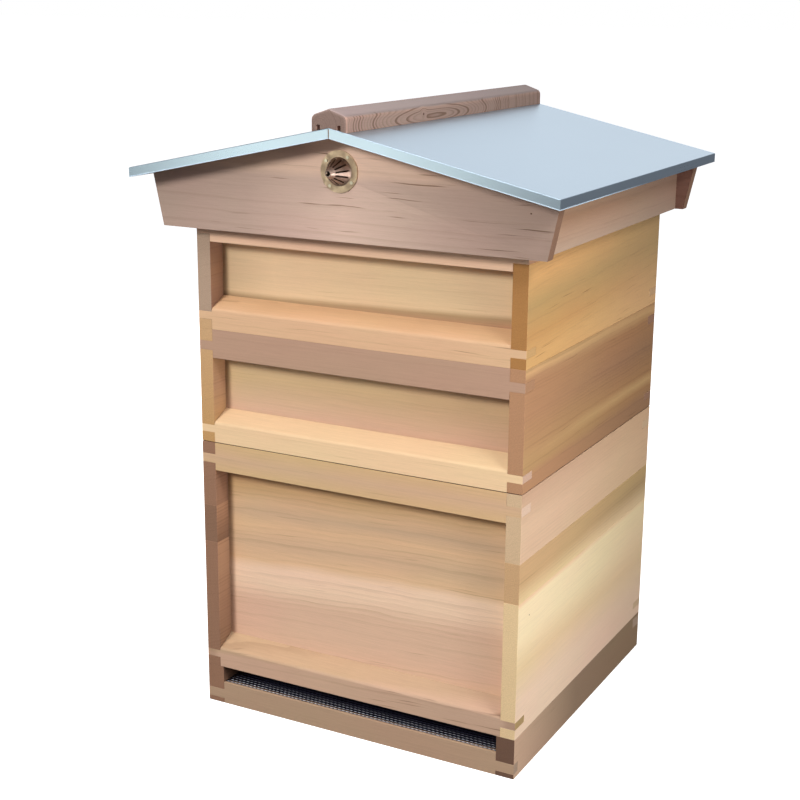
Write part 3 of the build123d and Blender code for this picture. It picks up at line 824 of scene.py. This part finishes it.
def stamped_brass():
    """Satin brass; its cone, inside the flange, is darker and browner, a painted reflection of the wood
    around it.
    """
    material, g, shader = new_material("brass")
    low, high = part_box("front_cone_vent")
    middle = (low + high) / 2 / MM
    place = place_mm(g)
    x, _, z = g.separate(place)
    tarnish = g.noise(place, scale=TARNISH_SCALE, detail=4, roughness=0.6)
    grain = g.noise(place, scale=BRASS_GRAIN_SCALE, detail=2)
    on_flange = g.smooth(g.length(g.minus(x, middle.x), g.minus(z, middle.z)), *CONE_CUT)
    rough = g.smooth(tarnish, *NOISE_MIDDLE, *TARNISH_ROUGH)
    g.feed_all(shader, {
        "Base Color": g.mix(on_flange, g.spread(tarnish, CONE_TONES), g.spread(tarnish, FLANGE_TONES)),
        "Metallic": 1.0,
        "Roughness": g.plus(rough, g.times(grain, BRASS_GRAIN_ROUGH)),
        "Normal": g.bump(grain, BRASS_GRAIN_RELIEF, strength=0.5),
    })
    return material


def wax():
    """Beeswax foundation, embossed with hexagon cells on both faces."""
    material, g, shader = new_material("wax")
    place = place_mm(g)
    _, y, z = g.separate(place)
    row = CELL * HALF_ROOT_3

    def off_middle(value, shift, step):
        """How far a value lies from the middle of its step."""
        return g.math("ABSOLUTE", g.minus(g.math("FLOORED_MODULO", g.plus(value, shift), step), step / 2))

    def cell_edge(shift):
        """Distance from the middle of the nearest cell of one of the two interleaved grids."""
        side = off_middle(y, shift * CELL / 2, CELL)
        slant = g.plus(g.times(side, 0.5), g.times(off_middle(z, shift * row, 2 * row), HALF_ROOT_3))
        return g.math("MAXIMUM", side, slant)

    rim = g.smooth(g.math("MINIMUM", cell_edge(0), cell_edge(1)), *(share * CELL for share in CELL_RIM))
    bloom = g.noise(place, scale=WAX_BLOOM_SCALE, detail=3)
    g.feed_all(shader, {
        "Base Color": g.mix(g.times(rim, WAX_RIM_SHARE), g.spread(bloom, WAX_TONES), WAX_RIM_TONE),
        "Roughness": g.smooth(bloom, *NOISE_MIDDLE, *WAX_ROUGH),
        "Subsurface Weight": WAX_DEPTH,
        "Subsurface Radius": WAX_REACH,
        "Normal": g.bump(rim, CELL_RELIEF, strength=0.8),
    })
    return material


def tray_plastic():
    """Matt sheet, near black as painted shade under the floor's mesh, with a fine texture and faint scuffs.
    """
    material, g, shader = new_material("tray_plastic")
    place = place_mm(g)
    x, y, z = g.separate(place)
    scuff_along, scuff_across = SCUFF_SCALE
    pebble = g.noise(place, scale=PEBBLE_SCALE, detail=3)
    marks = g.noise(g.combine(g.times(x, scuff_across), g.times(y, scuff_along), z), detail=3)
    scuff = g.times(g.smooth(marks, *SCUFF_CUT), SCUFF_SHARE)
    g.feed_all(shader, {
        "Base Color": g.mix(scuff, TRAY_SHADE_TONE, SCUFF_TONE),
        "Roughness": g.between(pebble, PEBBLE_ROUGH),
        "Normal": g.bump(pebble, PEBBLE_RELIEF, strength=0.5),
    })
    return material


STEEL = zinc_steel("steel", ZINC_TONES)
PUNCHED_STEEL = zinc_steel("punched_steel", ZINC_TONES, CUT_EDGE_TONE)
WIRE = woven_wire()
# A near-black copy of the zinc: painted shade on the finer wires
SHADED_WIRE = zinc_steel("shaded_wire", SHADED_ZINC_TONES)
BRASS = stamped_brass()
PIN = zinc_steel("brass_pins", PIN_TONES)
ROOF_METAL = sheet_metal()
WAX = wax()
PLASTIC = tray_plastic()


# Nodes and what they wear

def dress(obj, *materials):
    """Gives a node its materials."""
    obj.data.materials.clear()
    for material in materials:
        obj.data.materials.append(material)


def ease(obj, width, groups=()):
    """Joins the faces of each solid and rounds its sharp edges a little."""
    for group in groups or ("",):
        weld = obj.modifiers.new("weld", "WELD")
        weld.merge_threshold = WELD_GAP
        weld.vertex_group = group
    flatten = obj.modifiers.new("flatten", "DECIMATE")
    flatten.decimate_type = "DISSOLVE"
    flatten.angle_limit = FLAT_TURN
    flatten.delimit = {"MATERIAL"}
    bevel = obj.modifiers.new("ease", "BEVEL")
    bevel.width = width
    bevel.segments = EASE_STEPS
    bevel.limit_method = "ANGLE"
    bevel.angle_limit = EASED_TURN


def dress_board(name):
    """Gives a node of one board its figure and eased edges."""
    low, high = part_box(name)
    dress(nodes[name], wood(name, board_for(name), axes_for(name), low, high))
    ease(nodes[name], WOOD_EDGE)


def round_edges(obj, label, chosen, width):
    """Rounds the edges between the chosen vertices, before the object's other edges are eased."""
    group = obj.vertex_groups.new(name=label)
    for vertex in obj.data.vertices:
        if chosen(vertex.co):
            group.add([vertex.index], 1.0, "ADD")
    bevel = obj.modifiers.new(label, "BEVEL")
    bevel.width = width
    bevel.segments = ROUND_STEPS
    bevel.use_clamp_overlap = False
    bevel.limit_method = "VGROUP"
    bevel.vertex_group = group.name
    if "ease" in obj.modifiers:
        obj.modifiers.move(len(obj.modifiers) - 1, obj.modifiers.find("ease"))


def dress_sloped_rail(name):
    """A bottom rail: the long edge under its sloped face is well rounded."""
    low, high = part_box(name)
    outer = low.y if abs(low.y) > abs(high.y) else high.y
    brow = low.z + RAIL_FRONT
    dress_board(name)

    def on_brow(place):
        return abs(place.y - outer) < NEAR and abs(place.z - brow) < NEAR

    round_edges(nodes[name], "brow", on_brow, BROW_WIDTH)


def dress_beam():
    """The ridge beam: its shoulders and the outline of both ends are rounded, clear of its kerfs."""
    low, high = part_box("ridge_beam")
    beam = nodes["ridge_beam"]
    beside_kerfs = KERF_SHARE * high.x
    middle = (low.z + high.z) / 2
    dress_board("ridge_beam")

    def on_shoulder(place):
        return abs(place.x) > high.x - NEAR and place.z > middle

    def on_outline(place, end):
        outer = abs(place.x) > beside_kerfs or place.z > high.z - NEAR
        return outer and abs(place.y - end) < NEAR

    round_edges(beam, "shoulders", on_shoulder, SHOULDER_ROUND)
    for label, end in (("front_end", low.y), ("rear_end", high.y)):
        round_edges(beam, label, lambda place: on_outline(place, end), BEAM_ROUND)


def dress_brood_wall(name):
    """A wall of three boards, each with its own figure."""
    obj = nodes[name]
    low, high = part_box(name)
    seams = [low.z + seam for seam in BROOD_SEAMS]
    levels = [low.z, *seams, high.z]
    materials = []
    groups = []
    for index, (bottom, top) in enumerate(zip(levels, levels[1:])):
        label = f"{name}.{index}"
        board_low = Vector((low.x, low.y, bottom))
        board_high = Vector((high.x, high.y, top))
        materials.append(wood(label, board_for(label), "deep", board_low, board_high))
        groups.append(obj.vertex_groups.new(name=label))
    dress(obj, *materials)
    for polygon in obj.data.polygons:
        inside = polygon.center - polygon.normal * MM
        index = sum(inside.z > seam for seam in seams)
        polygon.material_index = index
        groups[index].add(polygon.vertices, 1.0, "ADD")
    ease(obj, SEAM_EDGE, [group.name for group in groups])


def dress_frames(name):
    """Frames of pine: the side bars, which stand beyond the wax, have upright grain."""
    obj = nodes[name]
    low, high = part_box(name)
    wax_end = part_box(name.replace("_frames", "_foundation"))[1].y
    laid = wood(f"{name}_bars", PINE, "deep", low, high)
    stood = wood(f"{name}_sides", replace(PINE, seed=9), "upright", low, high)
    dress(obj, laid, stood)
    for polygon in obj.data.polygons:
        inside = polygon.center - polygon.normal * MM
        on_side = wax_end < abs(inside.y) < wax_end + FRAME_SIDE
        polygon.material_index = int(on_side and inside.z < high.z - FRAME_TOP)
    ease(obj, SEAM_EDGE)


def dress_sheet():
    """The roof's sheet with rounded folds along its eaves and verges."""
    obj = nodes["roof_sheet"]
    low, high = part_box("roof_sheet")
    dress(obj, ROOF_METAL)

    def on_fold(place):
        at_eave = abs(place.x) > high.x - NEAR and place.z > low.z + SHEET_LIP - NEAR
        at_ridge = abs(place.x) < NEAR and place.z > high.z - NEAR
        outermost = min(place.y - low.y, high.y - place.y) < NEAR
        return outermost and (at_eave or at_ridge)

    weld = obj.modifiers.new("weld", "WELD")
    weld.merge_threshold = WELD_GAP
    round_edges(obj, "folds", on_fold, FOLD_WIDTH)
    split = obj.modifiers.new("sharp_corners", "EDGE_SPLIT")
    split.split_angle = EASED_TURN
    even = obj.modifiers.new("even_shading", "WEIGHTED_NORMAL")
    even.weight = 100


def dress_nodes():
    """Gives each node of the frame its looks; woven wires replace the floor's mesh."""
    for name, obj in nodes.items():
        if name == "floor_mesh":
            continue
        if name.startswith("brood_") and name.endswith("_wall"):
            dress_brood_wall(name)
        elif name.endswith("_bottom_rail"):
            dress_sloped_rail(name)
        elif name.endswith("_frames"):
            dress_frames(name)
        elif name.endswith("_foundation"):
            dress(obj, WAX)
        elif name.endswith(("_runners", "_runner_pins")):
            dress(obj, STEEL)
        elif name == "queen_excluder":
            dress(obj, PUNCHED_STEEL)
        elif name == "vent_pins":
            dress(obj, PIN)
        elif name.endswith("_vent"):
            dress(obj, BRASS)
        elif name == "roof_sheet":
            dress_sheet()
        elif name == "ridge_beam":
            dress_beam()
        elif name == "inspection_tray":
            dress(obj, PLASTIC)
            ease(obj, SEAM_EDGE)
        else:
            dress_board(name)


# Pieces that the scene adds

def add_piece(name, mesh, materials, body):
    """A mesh piece that moves with a body of the hive."""
    mesh.name = name
    piece = bpy.data.objects.new(name, mesh)
    dress(piece, *materials)
    scene.collection.objects.link(piece)
    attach(piece, body)
    return piece


def sweep(path, ring, vertices, faces):
    """Adds a closed tube along a path; the ring holds its offsets from each point."""
    start = len(vertices)
    count = len(ring)
    for point in path:
        vertices.extend(point + offset for offset in ring)
    for step in range(len(path) - 1):
        base = start + step * count
        for side in range(count):
            after = (side + 1) % count
            faces.append((base + side, base + after, base + count + after, base + count + side))
    faces.append(tuple(start + side for side in reversed(range(count))))
    faces.append(tuple(start + (len(path) - 1) * count + side for side in range(count)))


def floor_mesh():
    """Wires woven over and under each other: stout ones across, finer ones from front to back."""
    low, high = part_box("floor_mesh")
    middle = (low.z + high.z) / 2
    counts = [round((high[axis] - low[axis]) / WEAVE_STEPS[axis]) for axis in (0, 1)]
    steps = [(high[axis] - low[axis]) / counts[axis] for axis in (0, 1)]
    stout_lift = (high.z - low.z) / 2 - WIRE_RADII[0]
    lifts = (stout_lift, sum(WIRE_RADII) - stout_lift)
    wires = []
    vertices = []
    faces = []
    for along, across in ((0, 1), (1, 0)):
        side_way = Vector((float(across == 0), float(across == 1), 0.0))
        radius = WIRE_RADII[along]
        turns = [2 * pi * side / WIRE_SIDES[along] for side in range(WIRE_SIDES[along])]
        ring = [side_way * (radius * cos(turn)) + UP * (radius * sin(turn)) for turn in turns]
        if along == 1:
            ring.reverse()  # keeps the faces turned outwards
        for wire in range(counts[across]):
            path = []
            for crossing in range(counts[along]):
                place = Vector()
                place[along] = low[along] + (crossing + 0.5) * steps[along]
                place[across] = low[across] + (wire + 0.5) * steps[across]
                over = 1 if (crossing + wire + along) % 2 else -1
                place.z = middle + lifts[along] * over
                path.append(place)
            sweep(path, ring, vertices, faces)
        wires += [along] * (len(faces) - len(wires))
    mesh = bpy.data.meshes.new("floor_wire_mesh")
    mesh.from_pydata(vertices, [], faces)
    mesh.shade_smooth()
    # The finer wires take the near-black copy of the zinc: painted shade
    piece = add_piece("floor_wire_mesh", mesh, (WIRE, SHADED_WIRE), "floor")
    mesh.polygons.foreach_set("material_index", wires)
    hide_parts("floor_mesh")


def lip_corner(corner, along):
    """Points of a quarter turn from the upright edge of a lip to its lower edge."""
    centre = corner + (along + UP) * HEM_TURN
    angles = [pi / 2 * step / HEM_STEPS for step in range(HEM_STEPS + 1)]
    return [centre - along * (HEM_TURN * cos(angle)) - UP * (HEM_TURN * sin(angle)) for angle in angles]


def roof_hem():
    """The rolled lower edge of the sheet's lips, which stops at the slit under the ridge."""
    low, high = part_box("roof_sheet")
    eave = low.z + HEM_RADIUS
    ridge = high.z - SHEET_LIP + HEM_RADIUS
    middle = (low.x + high.x) / 2
    sides = {-1: low.x + HEM_RADIUS, 1: high.x - HEM_RADIUS}
    front = low.y + HEM_RADIUS
    rear = high.y - HEM_RADIUS
    runs = []
    for hand, side in sides.items():
        for end in (front, rear):
            corner = Vector((side, end, eave))
            top = Vector((middle + hand * SLIT_HALF, end, ridge))
            runs.append(lip_corner(corner, (top - corner).normalized()) + [top])
        depth = Vector((0.0, 1.0, 0.0))
        near = lip_corner(Vector((side, front, eave)), depth)
        far = lip_corner(Vector((side, rear, eave)), -depth)
        runs.append(near + far[::-1])
    curve = bpy.data.curves.new("roof_hem_line", "CURVE")
    curve.dimensions = "3D"
    curve.bevel_depth = HEM_RADIUS
    curve.bevel_resolution = HEM_ROUNDNESS
    curve.use_fill_caps = True
    for run in runs:
        line = curve.splines.new("POLY")
        line.points.add(len(run) - 1)
        for point, place in zip(line.points, run):
            point.co = (*place, 1.0)
    tube = bpy.data.objects.new("roof_hem_line", curve)
    mesh = bpy.data.meshes.new_from_object(tube)
    bpy.data.objects.remove(tube)
    mesh.shade_smooth()
    add_piece("roof_hem", mesh, (ROOF_METAL,), "roof")


# Studio

def area_light(name, place, target, size, power):
    """A round lamp that the camera doesn't see."""
    light = bpy.data.lights.new(name, "AREA")
    light.shape = "DISK"
    light.size = size
    light.energy = power
    lamp = bpy.data.objects.new(name, light)
    lamp.location = place
    lamp.rotation_mode = "QUATERNION"
    lamp.rotation_quaternion = (Vector(target) - Vector(place)).to_track_quat("-Z", "Y")
    lamp.visible_camera = False
    scene.collection.objects.link(lamp)
    return lamp


def studio_floor():
    """A wide white floor just under the hive, bright enough to run into the backdrop."""
    material, g, shader = new_material("studio_floor")
    g.feed_all(shader, {
        "Base Color": FLOOR_TONE,
        "Roughness": FLOOR_ROUGH,
        "Emission Color": WHITE,
        "Emission Strength": FLOOR_GLOW,
    })
    ways = ((-1, -1), (1, -1), (1, 1), (-1, 1))
    corners = [(x * FLOOR_REACH, y * FLOOR_REACH, -FLOOR_DROP) for x, y in ways]
    mesh = bpy.data.meshes.new("studio_floor")
    mesh.from_pydata(corners, [], [(0, 1, 2, 3)])
    mesh.materials.append(material)
    floor = bpy.data.objects.new("studio_floor", mesh)
    floor.visible_diffuse = False
    floor.visible_glossy = False
    scene.collection.objects.link(floor)


def studio_light():
    """A soft grey sky that the camera sees as white, the lamps and the card."""
    world = bpy.data.worlds.new("studio")
    scene.world = world
    world.use_nodes = True
    g = Graph(world.node_tree)
    background = world.node_tree.nodes["Background"]
    rise = g.separate(g.add("ShaderNodeTexCoord").outputs["Generated"])[2]
    soft = g.mix(g.smooth(rise, *SKY_RISE), *SKY_TONES)
    seen = g.add("ShaderNodeLightPath").outputs["Is Camera Ray"]
    g.feed(background.inputs["Color"], g.mix(seen, soft, WHITE))
    for name, settings in LAMPS.items():
        lamp = area_light(name, *settings)
        lamp.visible_glossy = name not in UNMIRRORED
    card = area_light("sheen_card", *SHEEN_CARD)
    card.visible_diffuse = False
    card.data.color = CARD_COLOUR


def photo_camera():
    """The camera at the photograph's viewpoint."""
    azimuth = CAMERA_AZIMUTH
    rise = CAMERA_ELEVATION
    back = Vector((sin(azimuth) * cos(rise), -cos(azimuth) * cos(rise), sin(rise)))
    level = Vector((cos(azimuth), sin(azimuth), 0.0))
    plumb = back.cross(level)
    right = cos(CAMERA_ROLL) * level + sin(CAMERA_ROLL) * plumb
    up = cos(CAMERA_ROLL) * plumb - sin(CAMERA_ROLL) * level
    data = bpy.data.cameras.new("photo_camera")
    data.lens = CAMERA_LENS
    data.sensor_width = CAMERA_SENSOR
    camera = bpy.data.objects.new("photo_camera", data)
    camera.matrix_world = Matrix.Translation(CAMERA_PLACE) @ Matrix((right, up, back)).transposed().to_4x4()
    scene.collection.objects.link(camera)
    bpy.context.scene.camera = camera
    scene.view_settings.view_transform = "Standard"


dress_nodes()
floor_mesh()
roof_hem()
studio_floor()
studio_light()
photo_camera()
